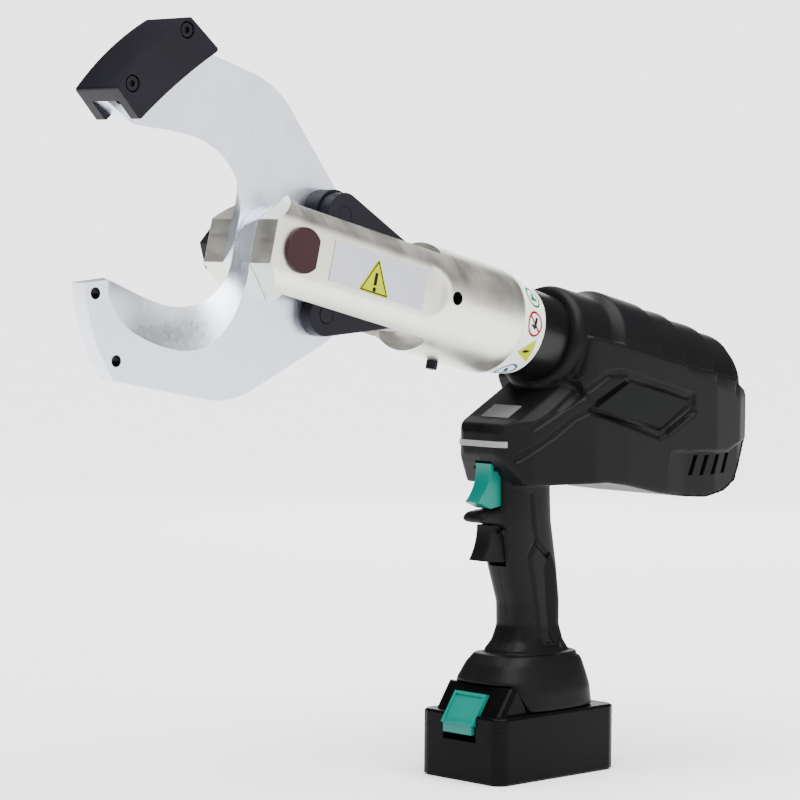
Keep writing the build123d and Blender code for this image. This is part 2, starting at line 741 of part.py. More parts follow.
def make_battery_upper_case():
    lid = rounded_tray(BATTERY_SEAM, BATTERY_TOP, 0)
    lid = fillet(lid.edges().group_by(Axis.Z)[-1], 2)
    tower = side_view_solid(TOWER, 31)
    front_edges = tower.edges().filter_by(lambda edge: -50 < edge.center().X < -42 and edge.length > 20)
    tower = fillet(front_edges, 5)
    rail = box(-24.5, 40, -20, 20, BATTERY_TOP - 1, 57)
    lid += tower + rail
    lid -= rounded_tray(BATTERY_SEAM - 1, BATTERY_TOP - BATTERY_WALL, BATTERY_WALL)
    for x, y in POST_PLACES:
        lid += rod_z(BATTERY_SEAM, BATTERY_TOP - 1, 3.4, x, y)
        lid -= rod_z(BATTERY_SEAM - 1, BATTERY_TOP - 3, SCREW_R + 0.05, x, y)
    return lid - make_latch_room()


def make_battery_latch():
    """Sloping thumb plate with a raised rim, and the hooked tab below it."""
    plate = side_view_solid(LATCH_PLATE, LATCH_HALF)
    slope = Location((-60.8, 0, 38.6), (0, -55.5, 0))
    plate -= slope * box(2.2, 21.8, -LATCH_HALF + 2.2, LATCH_HALF - 2.2, -1, 1)
    tab = box(-59.8, -56.6, -LATCH_HALF + 1.5, LATCH_HALF - 1.5, 32, 39.2)
    return plate + tab


def make_battery_cells():
    cells = []
    for row_z in (11.9, 30.3):
        for column in range(5):
            x = (column - 2) * 19.2 + 1.5
            cells.append(rod_y(-CELL_L / 2, CELL_L / 2, CELL_R, x, row_z))
    return Compound(children=cells)


def make_battery_board():
    return box(-36, 44, -26, 26, 39.9, 41.5)


def make_battery_screws():
    screws = []
    for x, y in POST_PLACES:
        screws.append(rod_z(2.6, 5, 2.6, x, y) + rod_z(5, 41, SCREW_R, x, y))
    return Compound(children=screws)


housing = make_housing()
body_pieces = {
    "housing_left": housing & box(-100, 300, -60, 0, 0, 400),
    "housing_right": housing & box(-100, 300, 0, 60, 0, 400),
    "housing_screws": make_housing_screws(),
    "led_lens": make_led_lens(),
    "nose_window": make_nose_window(),
    "side_badges": make_side_badges(),
    "grip_pads": make_grip_pads(),
    "trigger": make_trigger(),
    "trigger_pin": make_trigger_pin(),
    "retract_trigger": make_retract_trigger(),
    "retract_pin": make_retract_pin(),
    "circuit_board": make_circuit_board(),
    "switch_body": make_switch_body(),
    "terminal_block": make_terminal_block(),
    "battery_lower_case": make_battery_lower_case(),
    "battery_upper_case": make_battery_upper_case(),
    "battery_latch": make_battery_latch(),
    "battery_cells": make_battery_cells(),
    "battery_board": make_battery_board(),
    "battery_screws": make_battery_screws(),
}

for name, piece in (head_pieces | drive_pieces).items():
    export_step(on_barrel * piece, "parts/" + name + ".step")
for name, piece in body_pieces.items():
    export_step(piece, "parts/" + name + ".step")
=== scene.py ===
import json
import math

import bmesh
import bpy
import numpy as np
from mathutils import Matrix, Vector


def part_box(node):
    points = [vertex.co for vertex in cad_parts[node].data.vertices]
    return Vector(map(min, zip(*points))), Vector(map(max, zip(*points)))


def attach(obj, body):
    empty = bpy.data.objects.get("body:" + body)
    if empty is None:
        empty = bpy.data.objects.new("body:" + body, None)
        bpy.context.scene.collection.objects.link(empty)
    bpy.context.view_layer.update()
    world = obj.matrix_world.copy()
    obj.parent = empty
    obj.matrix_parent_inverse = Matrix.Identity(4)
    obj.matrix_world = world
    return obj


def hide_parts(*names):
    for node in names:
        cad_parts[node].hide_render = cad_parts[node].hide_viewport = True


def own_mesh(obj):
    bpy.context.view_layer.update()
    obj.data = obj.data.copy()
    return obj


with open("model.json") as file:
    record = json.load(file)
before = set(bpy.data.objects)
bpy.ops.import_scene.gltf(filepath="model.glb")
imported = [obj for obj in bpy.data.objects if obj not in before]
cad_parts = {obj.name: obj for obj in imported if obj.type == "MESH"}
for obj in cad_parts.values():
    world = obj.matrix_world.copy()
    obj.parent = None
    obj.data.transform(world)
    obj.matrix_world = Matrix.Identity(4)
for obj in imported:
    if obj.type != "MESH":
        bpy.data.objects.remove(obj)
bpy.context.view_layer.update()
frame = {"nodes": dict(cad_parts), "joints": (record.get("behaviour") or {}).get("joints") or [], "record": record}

# Battery-powered hydraulic cable cutter: finishes, printed marks and the moulded housing,
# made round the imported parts. Lengths are in metres; MM turns millimetres into metres.
MM = 0.001


# --- places taken from the frame ------------------------------------------------------
def joint(name):
    return next(j for j in frame["joints"] if j["name"] == name)


PIVOT = Vector(joint("jaw_close")["pos_m"])
BARREL_U = Vector(joint("head_swivel")["axis"]).normalized()
BARREL_V = Vector((0, 1, 0))
BARREL_W = BARREL_U.cross(BARREL_V)
ON_BARREL = Matrix.Translation(PIVOT) @ Matrix((BARREL_U, BARREL_V, BARREL_W)).transposed().to_4x4()
EAR_FACE = -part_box("name_plate")[0].y
NECK_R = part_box("neck_tube")[1].y


# --- mesh helpers ---------------------------------------------------------------------
def fresh():
    return bmesh.new()


def place(bm, matrix, verts=None):
    bmesh.ops.transform(bm, matrix=matrix, verts=verts or bm.verts)


def as_object(bm, name, body, material, smooth_angle=30.0):
    """Turns a bmesh into a piece that rides on a body, smooth except across sharp edges."""
    bmesh.ops.recalc_face_normals(bm, faces=bm.faces)
    limit = math.radians(smooth_angle)
    for face in bm.faces:
        face.smooth = True
    for edge in bm.edges:
        edge.smooth = len(edge.link_faces) == 2 and edge.calc_face_angle(0) < limit
    mesh = bpy.data.meshes.new(name)
    bm.to_mesh(mesh)
    bm.free()
    piece = bpy.data.objects.new(name, mesh)
    bpy.context.scene.collection.objects.link(piece)
    mesh.materials.append(material)
    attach(piece, body)
    return piece


def add_bevel(piece, width, segments=2, angle=35.0):
    bevel = piece.modifiers.new("edges", "BEVEL")
    bevel.width = width
    bevel.segments = segments
    bevel.limit_method = "ANGLE"
    bevel.angle_limit = math.radians(angle)
    bevel.harden_normals = True
    return piece


def body_of(node):
    return next(b for b, nodes in frame["record"]["behaviour"]["bodies"].items() if node in nodes)


def paint_bore_shade(bm, bores):
    """Paints shade into the walls of holes across the head, at (u, w, radius): they get the second material, the
    near-black ink, as painted shade.
    """
    to_barrel = ON_BARREL.inverted()
    for face in bm.faces:
        spots = [to_barrel @ vert.co for vert in face.verts]
        for u, w, radius in bores:
            if all(math.hypot(spot.x - u * MM, spot.z - w * MM) < (radius + 0.1) * MM for spot in spots):
                # painted shade: this hole wall takes the near-black second material
                face.material_index = 1


def finished(node, material, edge=0.3 * MM, angle=35.0, smooth_angle=30.0, bores=()):
    """The node's own shape with its faces merged and its edges softly broken; the walls of any given bores get
    painted shade.
    """
    bm = fresh()
    bm.from_mesh(frame["nodes"][node].data)
    bmesh.ops.remove_doubles(bm, verts=bm.verts, dist=0.004 * MM)
    bmesh.ops.dissolve_limit(
        bm, angle_limit=math.radians(0.4), verts=bm.verts, edges=bm.edges, use_dissolve_boundaries=False
    )
    # painted shade: the walls of the listed holes take the near-black second material
    paint_bore_shade(bm, bores)
    piece = as_object(bm, node + "_finished", body_of(node), material, smooth_angle)
    # the near-black second material is painted shade for the hole walls
    if bores:
        piece.data.materials.append(INK_AND_BORE_SHADE)
    if edge:
        add_bevel(piece, edge, angle=angle)
    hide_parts(node)
    return piece


def polygon_face(bm, points, plane="xz"):
    """A flat face through (a, b) points, given in the xz or the xy plane."""
    if plane == "xz":
        verts = [bm.verts.new((a, 0, b)) for a, b in points]
    else:
        verts = [bm.verts.new((a, b, 0)) for a, b in points]
    return bm.faces.new(verts)


def thicken(bm, face, vector):
    made = bmesh.ops.extrude_face_region(bm, geom=[face])
    moved = [g for g in made["geom"] if isinstance(g, bmesh.types.BMVert)]
    bmesh.ops.translate(bm, vec=vector, verts=moved)


def prism_y(points, y0, y1):
    """Side view in (x, z), in millimetres, given width from y0 to y1."""
    bm = fresh()
    face = polygon_face(bm, [(x * MM, z * MM) for x, z in points])
    bmesh.ops.translate(bm, vec=(0, y0 * MM, 0), verts=bm.verts)
    thicken(bm, face, (0, (y1 - y0) * MM, 0))
    bmesh.ops.recalc_face_normals(bm, faces=bm.faces)
    return bm


def block(x0, x1, y0, y1, z0, z1):
    bm = fresh()
    bmesh.ops.create_cube(bm, size=1)
    bmesh.ops.scale(bm, vec=((x1 - x0) * MM, (y1 - y0) * MM, (z1 - z0) * MM), verts=bm.verts)
    middle = ((x0 + x1) / 2 * MM, (y0 + y1) / 2 * MM, (z0 + z1) / 2 * MM)
    bmesh.ops.translate(bm, vec=middle, verts=bm.verts)
    return bm


def barrel_rod(u0, u1, radius, segments=96, v=0, w=0):
    """A cylinder along the barrel, in millimetres from the blade pivot."""
    bm = fresh()
    turn = Matrix.Rotation(math.radians(90), 4, "Y")
    bmesh.ops.create_cone(
        bm, cap_ends=True, segments=segments, radius1=radius * MM, radius2=radius * MM,
        depth=(u1 - u0) * MM, matrix=turn
    )
    bmesh.ops.translate(bm, vec=((u0 + u1) / 2 * MM, v * MM, w * MM), verts=bm.verts)
    place(bm, ON_BARREL)
    return bm


def turned_profile(points, segments=160):
    """Spins (u, radius) points, in millimetres, about the barrel's axis."""
    bm = fresh()
    verts = [bm.verts.new((u * MM, 0, r * MM)) for u, r in points]
    edges = [bm.edges.new((a, b)) for a, b in zip(verts, verts[1:] + verts[:1])]
    bmesh.ops.spin(
        bm, geom=verts + edges, cent=(0, 0, 0), axis=(1, 0, 0), angle=math.tau,
        steps=segments, use_merge=True
    )
    bmesh.ops.recalc_face_normals(bm, faces=bm.faces)
    place(bm, ON_BARREL)
    return bm


def scratch_object(bm, name):
    mesh = bpy.data.meshes.new(name)
    bm.to_mesh(mesh)
    bm.free()
    made = bpy.data.objects.new(name, mesh)
    bpy.context.scene.collection.objects.link(made)
    return made


def drop(*objects):
    for made in objects:
        mesh = made.data
        bpy.data.objects.remove(made)
        bpy.data.meshes.remove(mesh)


def applied(made):
    """The object's mesh with its modifiers worked in."""
    bpy.context.view_layer.update()
    graph = bpy.context.evaluated_depsgraph_get()
    mesh = bpy.data.meshes.new_from_object(made.evaluated_get(graph))
    bm = fresh()
    bm.from_mesh(mesh)
    bpy.data.meshes.remove(mesh)
    return bm


def combined(first, second, operation):
    """Boolean of two bmeshes; both are used up."""
    a = scratch_object(first, "first")
    b = scratch_object(second, "second")
    cut = a.modifiers.new("cut", "BOOLEAN")
    cut.operation = operation
    cut.solver = "EXACT"
    cut.object = b
    result = applied(a)
    drop(a, b)
    return result


def joined(parts):
    bm = fresh()
    for part in parts:
        mesh = bpy.data.meshes.new("part")
        part.to_mesh(mesh)
        part.free()
        bm.from_mesh(mesh)
        bpy.data.meshes.remove(mesh)
    return bm


# --- material helpers -----------------------------------------------------------------
def new_material(name, color, roughness, metallic=0.0):
    material = bpy.data.materials.new(name)
    material.use_nodes = True
    shader = material.node_tree.nodes["Principled BSDF"]
    shader.inputs["Base Color"].default_value = (*color, 1)
    shader.inputs["Roughness"].default_value = roughness
    shader.inputs["Metallic"].default_value = metallic
    return material, material.node_tree, shader


def place_coordinates(tree, scale, turn=(0, 0, 0)):
    """Object coordinates, turned and stretched for a grain."""
    source = tree.nodes.new("ShaderNodeTexCoord")
    mapping = tree.nodes.new("ShaderNodeMapping")
    mapping.inputs["Rotation"].default_value = turn
    mapping.inputs["Scale"].default_value = scale
    tree.links.new(source.outputs["Object"], mapping.inputs["Vector"])
    return mapping.outputs["Vector"]


def noise(tree, vector, scale, detail=3.0, roughness=0.5):
    node = tree.nodes.new("ShaderNodeTexNoise")
    node.inputs["Scale"].default_value = scale
    node.inputs["Detail"].default_value = detail
    node.inputs["Roughness"].default_value = roughness
    tree.links.new(vector, node.inputs["Vector"])
    return node.outputs["Fac"]


def spread(tree, value, low, high, start=0.3, end=0.7):
    node = tree.nodes.new("ShaderNodeMapRange")
    node.inputs["From Min"].default_value = start
    node.inputs["From Max"].default_value = end
    node.inputs["To Min"].default_value = low
    node.inputs["To Max"].default_value = high
    tree.links.new(value, node.inputs["Value"])
    return node.outputs["Result"]


def blend_colors(tree, factor, first, second):
    node = tree.nodes.new("ShaderNodeMix")
    node.data_type = "RGBA"
    node.inputs["A"].default_value = (*first, 1)
    node.inputs["B"].default_value = (*second, 1)
    tree.links.new(factor, node.inputs["Factor"])
    return node.outputs["Result"]


def bump(tree, shader, height, strength, distance):
    node = tree.nodes.new("ShaderNodeBump")
    node.inputs["Strength"].default_value = strength
    node.inputs["Distance"].default_value = distance
    tree.links.new(height, node.inputs["Height"])
    tree.links.new(node.outputs["Normal"], shader.inputs["Normal"])


def brushed_metal(name, color, dark, roughness, grain, turn=(0, 0, 0), strength=0.12):
    """Metal with fine drawn lines, soft cloudiness and uneven polish."""
    material, tree, shader = new_material(name, color, roughness, 1.0)
    lines = noise(tree, place_coordinates(tree, grain, turn), 1.0, 4.0, 0.6)
    clouds = noise(tree, place_coordinates(tree, (1, 1, 1)), 38.0, 2.0)
    fine = spread(tree, lines, 0, 1, 0.25, 0.75)
    tree.links.new(blend_colors(tree, fine, dark, color), shader.inputs["Base Color"])
    mixed = tree.nodes.new("ShaderNodeMath")
    mixed.operation = "ADD"
    tree.links.new(spread(tree, lines, -0.05, 0.06), mixed.inputs[0])
    tree.links.new(spread(tree, clouds, roughness - 0.05, roughness + 0.06), mixed.inputs[1])
    tree.links.new(mixed.outputs["Value"], shader.inputs["Roughness"])
    bump(tree, shader, lines, strength, 0.05 * MM)
    return material


def moulded(name, color, light, roughness, grain=1900.0, strength=0.25, gloss=0.5):
    """Injection-moulded plastic: spark-eroded grain, faint flow marks and rubbed patches."""
    material, tree, shader = new_material(name, color, roughness)
    grain_noise = noise(tree, place_coordinates(tree, (1, 1, 1)), grain, 2.0, 0.6)
    flow = noise(tree, place_coordinates(tree, (9, 22, 14)), 1.0, 3.0)
    tree.links.new(blend_colors(tree, spread(tree, flow, 0, 1), color, light), shader.inputs["Base Color"])
    rough = spread(tree, flow, roughness - 0.05, roughness + 0.05)
    tree.links.new(rough, shader.inputs["Roughness"])
    shader.inputs["Specular IOR Level"].default_value = gloss
    bump(tree, shader, grain_noise, strength, 0.06 * MM)
    return material


def printed(name, color, light):
    """Printed film: nearly even colour, with faint mottling and a slick surface."""
    material, tree, shader = new_material(name, color, 0.35)
    shader.inputs["Specular IOR Level"].default_value = 0.08
    mottle = noise(tree, place_coordinates(tree, (1, 1, 1)), 420.0, 3.0)
    tree.links.new(blend_colors(tree, spread(tree, mottle, 0, 1), color, light), shader.inputs["Base Color"])
    tree.links.new(spread(tree, mottle, 0.3, 0.4), shader.inputs["Roughness"])
    bump(tree, shader, mottle, 0.05, 0.05 * MM)
    return material


PITCH_BACK = (0, math.asin(-BARREL_U.z) * -1, 0)
BLADE_STEEL = brushed_metal(
    "blade_steel", (0.77, 0.82, 0.91), (0.71, 0.76, 0.86), 0.36, (700, 700, 60), PITCH_BACK, 0.03
)
ALLOY = brushed_metal(
    "satin_alloy", (0.82, 0.80, 0.71), (0.70, 0.69, 0.62), 0.36, (1600, 60, 60), PITCH_BACK, 0.10
)
PLATE = brushed_metal(
    "plate_alloy", (0.62, 0.63, 0.68), (0.56, 0.57, 0.62), 0.45, (80, 1400, 1400), PITCH_BACK, 0.06
)
BARE_STEEL = brushed_metal("bare_steel", (0.55, 0.55, 0.57), (0.42, 0.42, 0.44), 0.32, (700, 700, 700))
BRONZE = brushed_metal("bronze", (0.72, 0.47, 0.22), (0.58, 0.36, 0.16), 0.34, (700, 700, 700))
BLACK_OXIDE = moulded(
    "black_oxide", (0.0040, 0.0036, 0.0064), (0.0070, 0.0064, 0.0100), 0.42, 2600.0, 0.1, 0.12
)
NECK_BLACK = moulded("neck_black", (0.002, 0.002, 0.0024), (0.004, 0.004, 0.0044), 0.3, 2600.0, 0.05, 0.2)
PIN_BROWN = moulded("pin_brown", (0.020, 0.0064, 0.0072), (0.028, 0.010, 0.0105), 0.5, 2400.0, 0.15, 0.15)
SHELL = moulded("shell_plastic", (0.0040, 0.0040, 0.0045), (0.0056, 0.0056, 0.0062), 0.44, gloss=0.08)
PAD = moulded("pad_rubber", (0.0035, 0.0035, 0.0038), (0.0050, 0.0050, 0.0054), 0.62, 1500.0, 0.4, 0.05)
BADGE = moulded("badge_plastic", (0.0026, 0.0029, 0.0029), (0.0036, 0.004, 0.004), 0.34, 2400.0, 0.08, 0.07)
GLOSS = moulded(
    "battery_plastic", (0.0022, 0.0022, 0.0026), (0.0034, 0.0034, 0.0038), 0.24, 900.0, 0.02, 0.045
)
TEAL = moulded("teal_plastic", (0.0, 0.135, 0.108), (0.0, 0.155, 0.124), 0.4, 2200.0, 0.12, 0.25)
WINDOW = printed("window_plastic", (0.15, 0.148, 0.15), (0.17, 0.168, 0.17))
LENS = printed("lens_plastic", (0.20, 0.205, 0.21), (0.25, 0.255, 0.26))
WHITE = printed("label_white", (0.68, 0.74, 0.70), (0.74, 0.79, 0.75))
YELLOW = printed("label_yellow", (0.36, 0.40, 0.0), (0.40, 0.44, 0.0))
RED = printed("label_red", (0.20, 0.002, 0.006), (0.24, 0.003, 0.008))
GREEN = printed("label_green", (0.006, 0.10, 0.035), (0.01, 0.12, 0.045))
BLUE = printed("label_blue", (0.008, 0.06, 0.16), (0.012, 0.08, 0.19))
# near-black print ink, also used as painted shade on the walls of holes through the head
INK_AND_BORE_SHADE = printed("label_ink_and_bore_shade", (0.004, 0.004, 0.0035), (0.006, 0.006, 0.0055))
BOARD = printed("board_green", (0.02, 0.15, 0.06), (0.03, 0.2, 0.09))
CELL_WRAP = printed("cell_wrap", (0.008, 0.010, 0.016), (0.012, 0.014, 0.021))


# --- metal head -----------------------------------------------------------------------
# holes across the head, in millimetres from the blade pivot: along the barrel, across it, radius; their walls get
# painted shade
TIP_HOLES = [(u, side * w, 3.6) for u, w in ((-137.5, 59.5), (-112.5, 95.0)) for side in (-1, 1)]
SIDE_HOLES = [(135.0, 1.0, 4.5)]


def make_head():
    finished("yoke_body", ALLOY, 0.5 * MM, bores=SIDE_HOLES)
    finished("name_plate", PLATE, 0.12 * MM)
    for node in ("blade_upper", "blade_lower"):
        blade = finished(node, BLADE_STEEL, 0.3 * MM, 50.0, 13.0, TIP_HOLES)
        even = blade.modifiers.new("even", "WEIGHTED_NORMAL")
        even.keep_sharp = True
    finished("guide_block", BLACK_OXIDE, 0.3 * MM)
    finished("guide_screws", BLACK_OXIDE, 0.2 * MM)
    for side in ("upper", "lower"):
        finished("link_plates_" + side, BLACK_OXIDE, 0.9 * MM)
        finished("heel_spacer_" + side, BLACK_OXIDE, 0.5 * MM)
        finished("heel_pin_" + side, BLACK_OXIDE, 0.4 * MM)
        finished("link_pin_" + side, BARE_STEEL, 0.3 * MM)
    finished("pivot_pin", PIN_BROWN, 0.5 * MM)
    finished("pivot_nut", BLACK_OXIDE, 0.8 * MM)
    finished("lock_screw", BLACK_OXIDE, 0.3 * MM)
    finished("neck_tube", NECK_BLACK, 0.4 * MM)
    finished("label_ring", WHITE, 0)
    for node in ("crosshead", "piston_rod", "piston", "swivel_ring"):
        finished(node, BARE_STEEL, 0.2 * MM)
    # the ram presses the spring towards its gland as the jaws close; here the spring only gets a mesh of its own
    spring = finished("return_spring", BARE_STEEL, 0.2 * MM)
    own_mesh(spring)
    finished("rod_gland", BRONZE, 0.2 * MM)
    finished("piston_seal", PAD, 0)


def make_drive():
    for node in ("motor_can", "motor_bearings", "motor_rotor", "eccentric_shaft", "pump_plunger"):
        finished(node, BARE_STEEL, 0.2 * MM)
    for node in ("pump_block", "gearbox_housing"):
        finished(node, PLATE, 0.3 * MM)
    finished("relief_valve", BRONZE, 0.2 * MM)
    finished("oil_bladder", PAD, 0)
    finished("motor_fan", BADGE, 0.1 * MM)
    finished("circuit_board", BOARD, 0.1 * MM)
    for node in ("switch_body", "terminal_block"):
        finished(node, BADGE, 0.3 * MM)
    for node in ("trigger_pin", "retract_pin"):
        finished(node, BADGE, 0.1 * MM)
    finished("housing_screws", BLACK_OXIDE, 0.2 * MM)
    finished("battery_cells", CELL_WRAP, 0.4 * MM)
    finished("battery_board", BOARD, 0.1 * MM)
    finished("battery_screws", BARE_STEEL, 0.1 * MM)


# --- moulded housing ------------------------------------------------------------------
LOWER_SIDE = [
    (24, 297), (120, 276), (178, 264), (192, 256), (198, 246), (198, 226), (190, 214), (184, 205),
    (177, 192), (164, 185.5), (142, 182), (120, 183.5), (94, 187), (58, 194.5), (40, 197), (-24, 197),
    (-37, 212), (-41.5, 218), (-41.5, 233), (-37.5, 238), (-27, 242), (12, 263.5), (18, 270),
]
PLAN_HALF = [
    (-43, 12), (-39, 20), (-20, 30.5), (28, 42.2), (60, 44.0), (152, 44.0), (182, 40), (194, 35), (200, 28),
]
MOTOR_PROFILE = [
    (252, 8), (252, 33.5), (253.5, 36), (257, 37.3), (286, 37.8), (291, 40), (295, 42.8), (330, 43.0),
    (360, 42.2), (393, 41.0), (417, 39.4), (427, 36.8), (433, 32.5), (436.5, 26), (438.5, 18), (439.5, 8),
]
GRIP = [   # height, front, back, half width
    (215, -27, 14, 17), (199, -28.5, 17, 18), (171, -28, 19, 17.5), (142, -23, 25, 17),
    (116, -14, 28.5, 16.5), (100, -13.5, 28.5, 16.5), (90, -18, 32, 17.5), (80, -28, 39, 21),
    (72, -34, 43, 24),
]
FOOT = [(82, -30, 41, 25), (76, -36, 45, 28.5), (65, -42, 47.5, 33), (58, -43, 49, 35), (45.5, -43, 50, 36.3)]
TOWER_ROOM = [(-70, 63.4), (-35, 63.4), (-23.6, 45), (-23.6, 40), (-70, 40)]
UPPER_GROOVE = [
    (-20, 236), (-2, 246), (12, 254.5), (27, 263.5), (40, 270.5), (54, 271), (89, 261), (126, 253),
    (125, 242), (102, 230),
]
LOWER_GROOVE = [
    (-30, 215), (-21, 221), (-4, 230.5), (12, 242), (23, 246.5), (35, 244), (92, 227), (103, 231),
    (127, 243),
]
INLAY = [(-7, 140), (-9, 149), (-3, 158), (10, 147), (15, 138), (20, 116), (22, 89), (21, 86), (5, 88),
         (2, 93), (-2, 118)]
INLAY_TOP = [(-3, 158), (-6, 172), (-9, 190)]
BADGE_EDGE = [(25, 248), (59, 265), (121, 250), (91, 233)]
STEP_LINE = [(96, 190), (105, 217), (125, 215.5), (168, 214.5), (181, 219), (200, 222)]
RIB_STARTS = [332, 360, 393, 419, 440]
CREASE_HEIGHT = 82.0
NOSE_TILT = Matrix.Rotation(math.radians(-29), 4, "Y")   # slope of the nose that carries the window
WINDOW_AT = (-20.3 * MM, 0, 245.4 * MM)


def plan_prism():
    bm = fresh()
    outline = [(x * MM, -y * MM) for x, y in PLAN_HALF] + [(x * MM, y * MM) for x, y in reversed(PLAN_HALF)]
    face = polygon_face(bm, outline, "xy")
    thicken(bm, face, (0, 0, 400 * MM))
    bmesh.ops.recalc_face_normals(bm, faces=bm.faces)
    return bm


def nose_flank(sign):
    """Wedge taken off each side of the sloping nose."""
    bm = fresh()
    outline = [(24, 0), (62, -30), (62, 60), (24, 60)]
    face = polygon_face(bm, [(sign * y * MM, z * MM) for y, z in outline], "xy")
    thicken(bm, face, (0, 0, 70 * MM))
    # the outline is drawn flat in (x, y) and stood up so that it runs along the slope
    stand = Matrix(((0, 0, 1, 0), (1, 0, 0, 0), (0, 1, 0, 0), (0, 0, 0, 1)))
    place(bm, Matrix.Translation((-45 * MM, 0, 232.3 * MM)) @ NOSE_TILT @ stand)
    bmesh.ops.recalc_face_normals(bm, faces=bm.faces)
    return bm


def rounded_loop(bm, z, front, back, half, squareness=3.2, segments=56):
    """One closed loop of a lofted column, squarer than an ellipse."""
    made = bmesh.ops.create_circle(bm, segments=segments, radius=1)
    for vert in made["verts"]:
        x, y = vert.co.x, vert.co.y
        power = 2 / squareness
        x = math.copysign(abs(x) ** power, x)
        y = math.copysign(abs(y) ** power, y)
        vert.co = ((front + back) / 2 * MM + x * (back - front) / 2 * MM, y * half * MM, z * MM)
    return list({edge for vert in made["verts"] for edge in vert.link_edges})


def lofted(sections):
    bm = fresh()
    loops = [rounded_loop(bm, *section) for section in sections]
    for low, high in zip(loops, loops[1:]):
        bmesh.ops.bridge_loops(bm, edges=low + high)
    for loop in (loops[0], loops[-1]):
        bmesh.ops.contextual_create(bm, geom=loop)
    bmesh.ops.recalc_face_normals(bm, faces=bm.faces)
    return bm


def trigger_guard():
    """The lip that parts the two triggers and sweeps back into the grip."""
    bm = prism_y([(-10, 163), (-14, 182), (-44, 179.5), (-48.5, 176.5), (-48, 172.5), (-30, 170)], -9.5, 9.5)
    bmesh.ops.bevel(bm, geom=bm.edges[:], offset=2.4 * MM, segments=4, profile=0.5, affect="EDGES")
    return bm


def distance_to_path(x, z, path):
    best = np.full(x.shape, 1e9)
    for (ax, az), (bx, bz) in zip(path, path[1:]):
        dx, dz = bx - ax, bz - az
        t = np.clip(((x - ax) * dx + (z - az) * dz) / (dx * dx + dz * dz), 0, 1)
        best = np.minimum(best, np.hypot(x - ax - t * dx, z - az - t * dz))
    return best


def soft_step(value):
    value = np.clip(value, 0, 1)
    return value * value * (3 - 2 * value)


def carve(mesh):
    """Presses the grooves, the shingled ribs and the stepped underside into the skin."""
    count = len(mesh.vertices)
    co = np.empty(count * 3)
    mesh.vertices.foreach_get("co", co)
    co = co.reshape(-1, 3) / MM
    normal = np.empty(count * 3)
    mesh.vertices.foreach_get("normal", normal)
    normal = normal.reshape(-1, 3)
    x, y, z = co.T
    depth = np.zeros(count)
    side = soft_step((np.abs(normal[:, 1]) - 0.35) / 0.3)
    for path, width, deep in (
        (UPPER_GROOVE, 1.9, 1.8), (LOWER_GROOVE, 1.9, 1.8),
        (INLAY + INLAY[:1], 1.5, 1.7), (INLAY_TOP, 1.4, 1.5),
        (BADGE_EDGE + BADGE_EDGE[:1], 2.2, 1.6),
    ):
        depth += deep * side * soft_step(1.6 - distance_to_path(x, z, path) / width)
    # the underside behind the grip is stepped in under the flank
    step_x, step_z = zip(*STEP_LINE)
    below = np.interp(x, step_x, step_z) - z
    depth += 1.6 * side * soft_step(below / 1.6) * soft_step((x - 97) / 26) * (z > 170)
    # crease where the grip meets the foot
    crease = CREASE_HEIGHT - 0.06 * x
    depth += 0.9 * soft_step(1 - np.abs(z - crease) / 1.6)
    # ribs over the top of the motor housing, each sinking under the one before
    u = (x - PIVOT.x / MM) * BARREL_U.x + (z - PIVOT.z / MM) * BARREL_U.z
    w = (x - PIVOT.x / MM) * BARREL_W.x + (z - PIVOT.z / MM) * BARREL_W.z
    reach = soft_step((w - 4 + 0.10 * (u - 330)) / 14)
    for start, end in zip(RIB_STARTS, RIB_STARTS[1:]):
        along = (u - start) / (end - start)
        inside = (along >= -0.05) & (along < 1)
        ramp = soft_step((along + 0.05) / 0.06) * (1 - soft_step(along))
        depth += 2.0 * reach * ramp * inside
    co -= normal * depth[:, None]
    mesh.vertices.foreach_set("co", (co * MM).ravel())
    mesh.update()


def smooth_skin():
    body = combined(prism_y(LOWER_SIDE, -60, 60), plan_prism(), "INTERSECT")
    for sign in (-1, 1):
        body = combined(body, nose_flank(sign), "DIFFERENCE")
    foot = combined(lofted(FOOT), prism_y(TOWER_ROOM, -50, 50), "DIFFERENCE")
    parts = [body, turned_profile(MOTOR_PROFILE, 96), lofted(GRIP), foot, trigger_guard()]
    skin = scratch_object(joined(parts), "skin")
    fuse = skin.modifiers.new("fuse", "REMESH")
    fuse.mode = "VOXEL"
    fuse.voxel_size = 0.9 * MM
    ease = skin.modifiers.new("ease", "SMOOTH")
    ease.factor = 0.5
    ease.iterations = 14
    bm = applied(skin)
    drop(skin)
    carved = bpy.data.meshes.new("carved")
    bm.to_mesh(carved)
    bm.free()
    carve(carved)
    bm = fresh()
    bm.from_mesh(carved)
    bpy.data.meshes.remove(carved)
    return bm


def vent_cutters():
    slots = []
    for x, low, lean in ((123, 198, 6), (135, 197.5, 6), (147, 197.5, 6), (159, 198, 6)):
        outline = [(x, low), (x + lean, low + 14), (x + lean + 4.5, low + 14), (x + 4.5, low)]
        for y0, y1 in ((-60, -30), (30, 60)):
            slots.append(prism_y(outline, y0, y1))
    return slots


def openings():
    """Everything that is let into the skin, in one mesh of separate cutters."""
    cutters = [
        barrel_rod(190, 309, NECK_R / MM + 0.35),
        block(-70, -16, -7.8, 7.8, 181.5, 213),
        block(-70, -8, -7.8, 7.8, 141.5, 171.8),
        block(-60, 44, -20.5, 20.5, 30, 59),
    ]
    window = block(-7.9, 7.9, -12.7, 12.7, -0.6, 6)
    place(window, Matrix.Translation(WINDOW_AT) @ NOSE_TILT)
    cutters.append(window)
    for y0, y1 in ((-60, -43.6), (43.6, 60)):
        cutters.append(prism_y(BADGE_EDGE, y0, y1))
    return joined(cutters + vent_cutters())


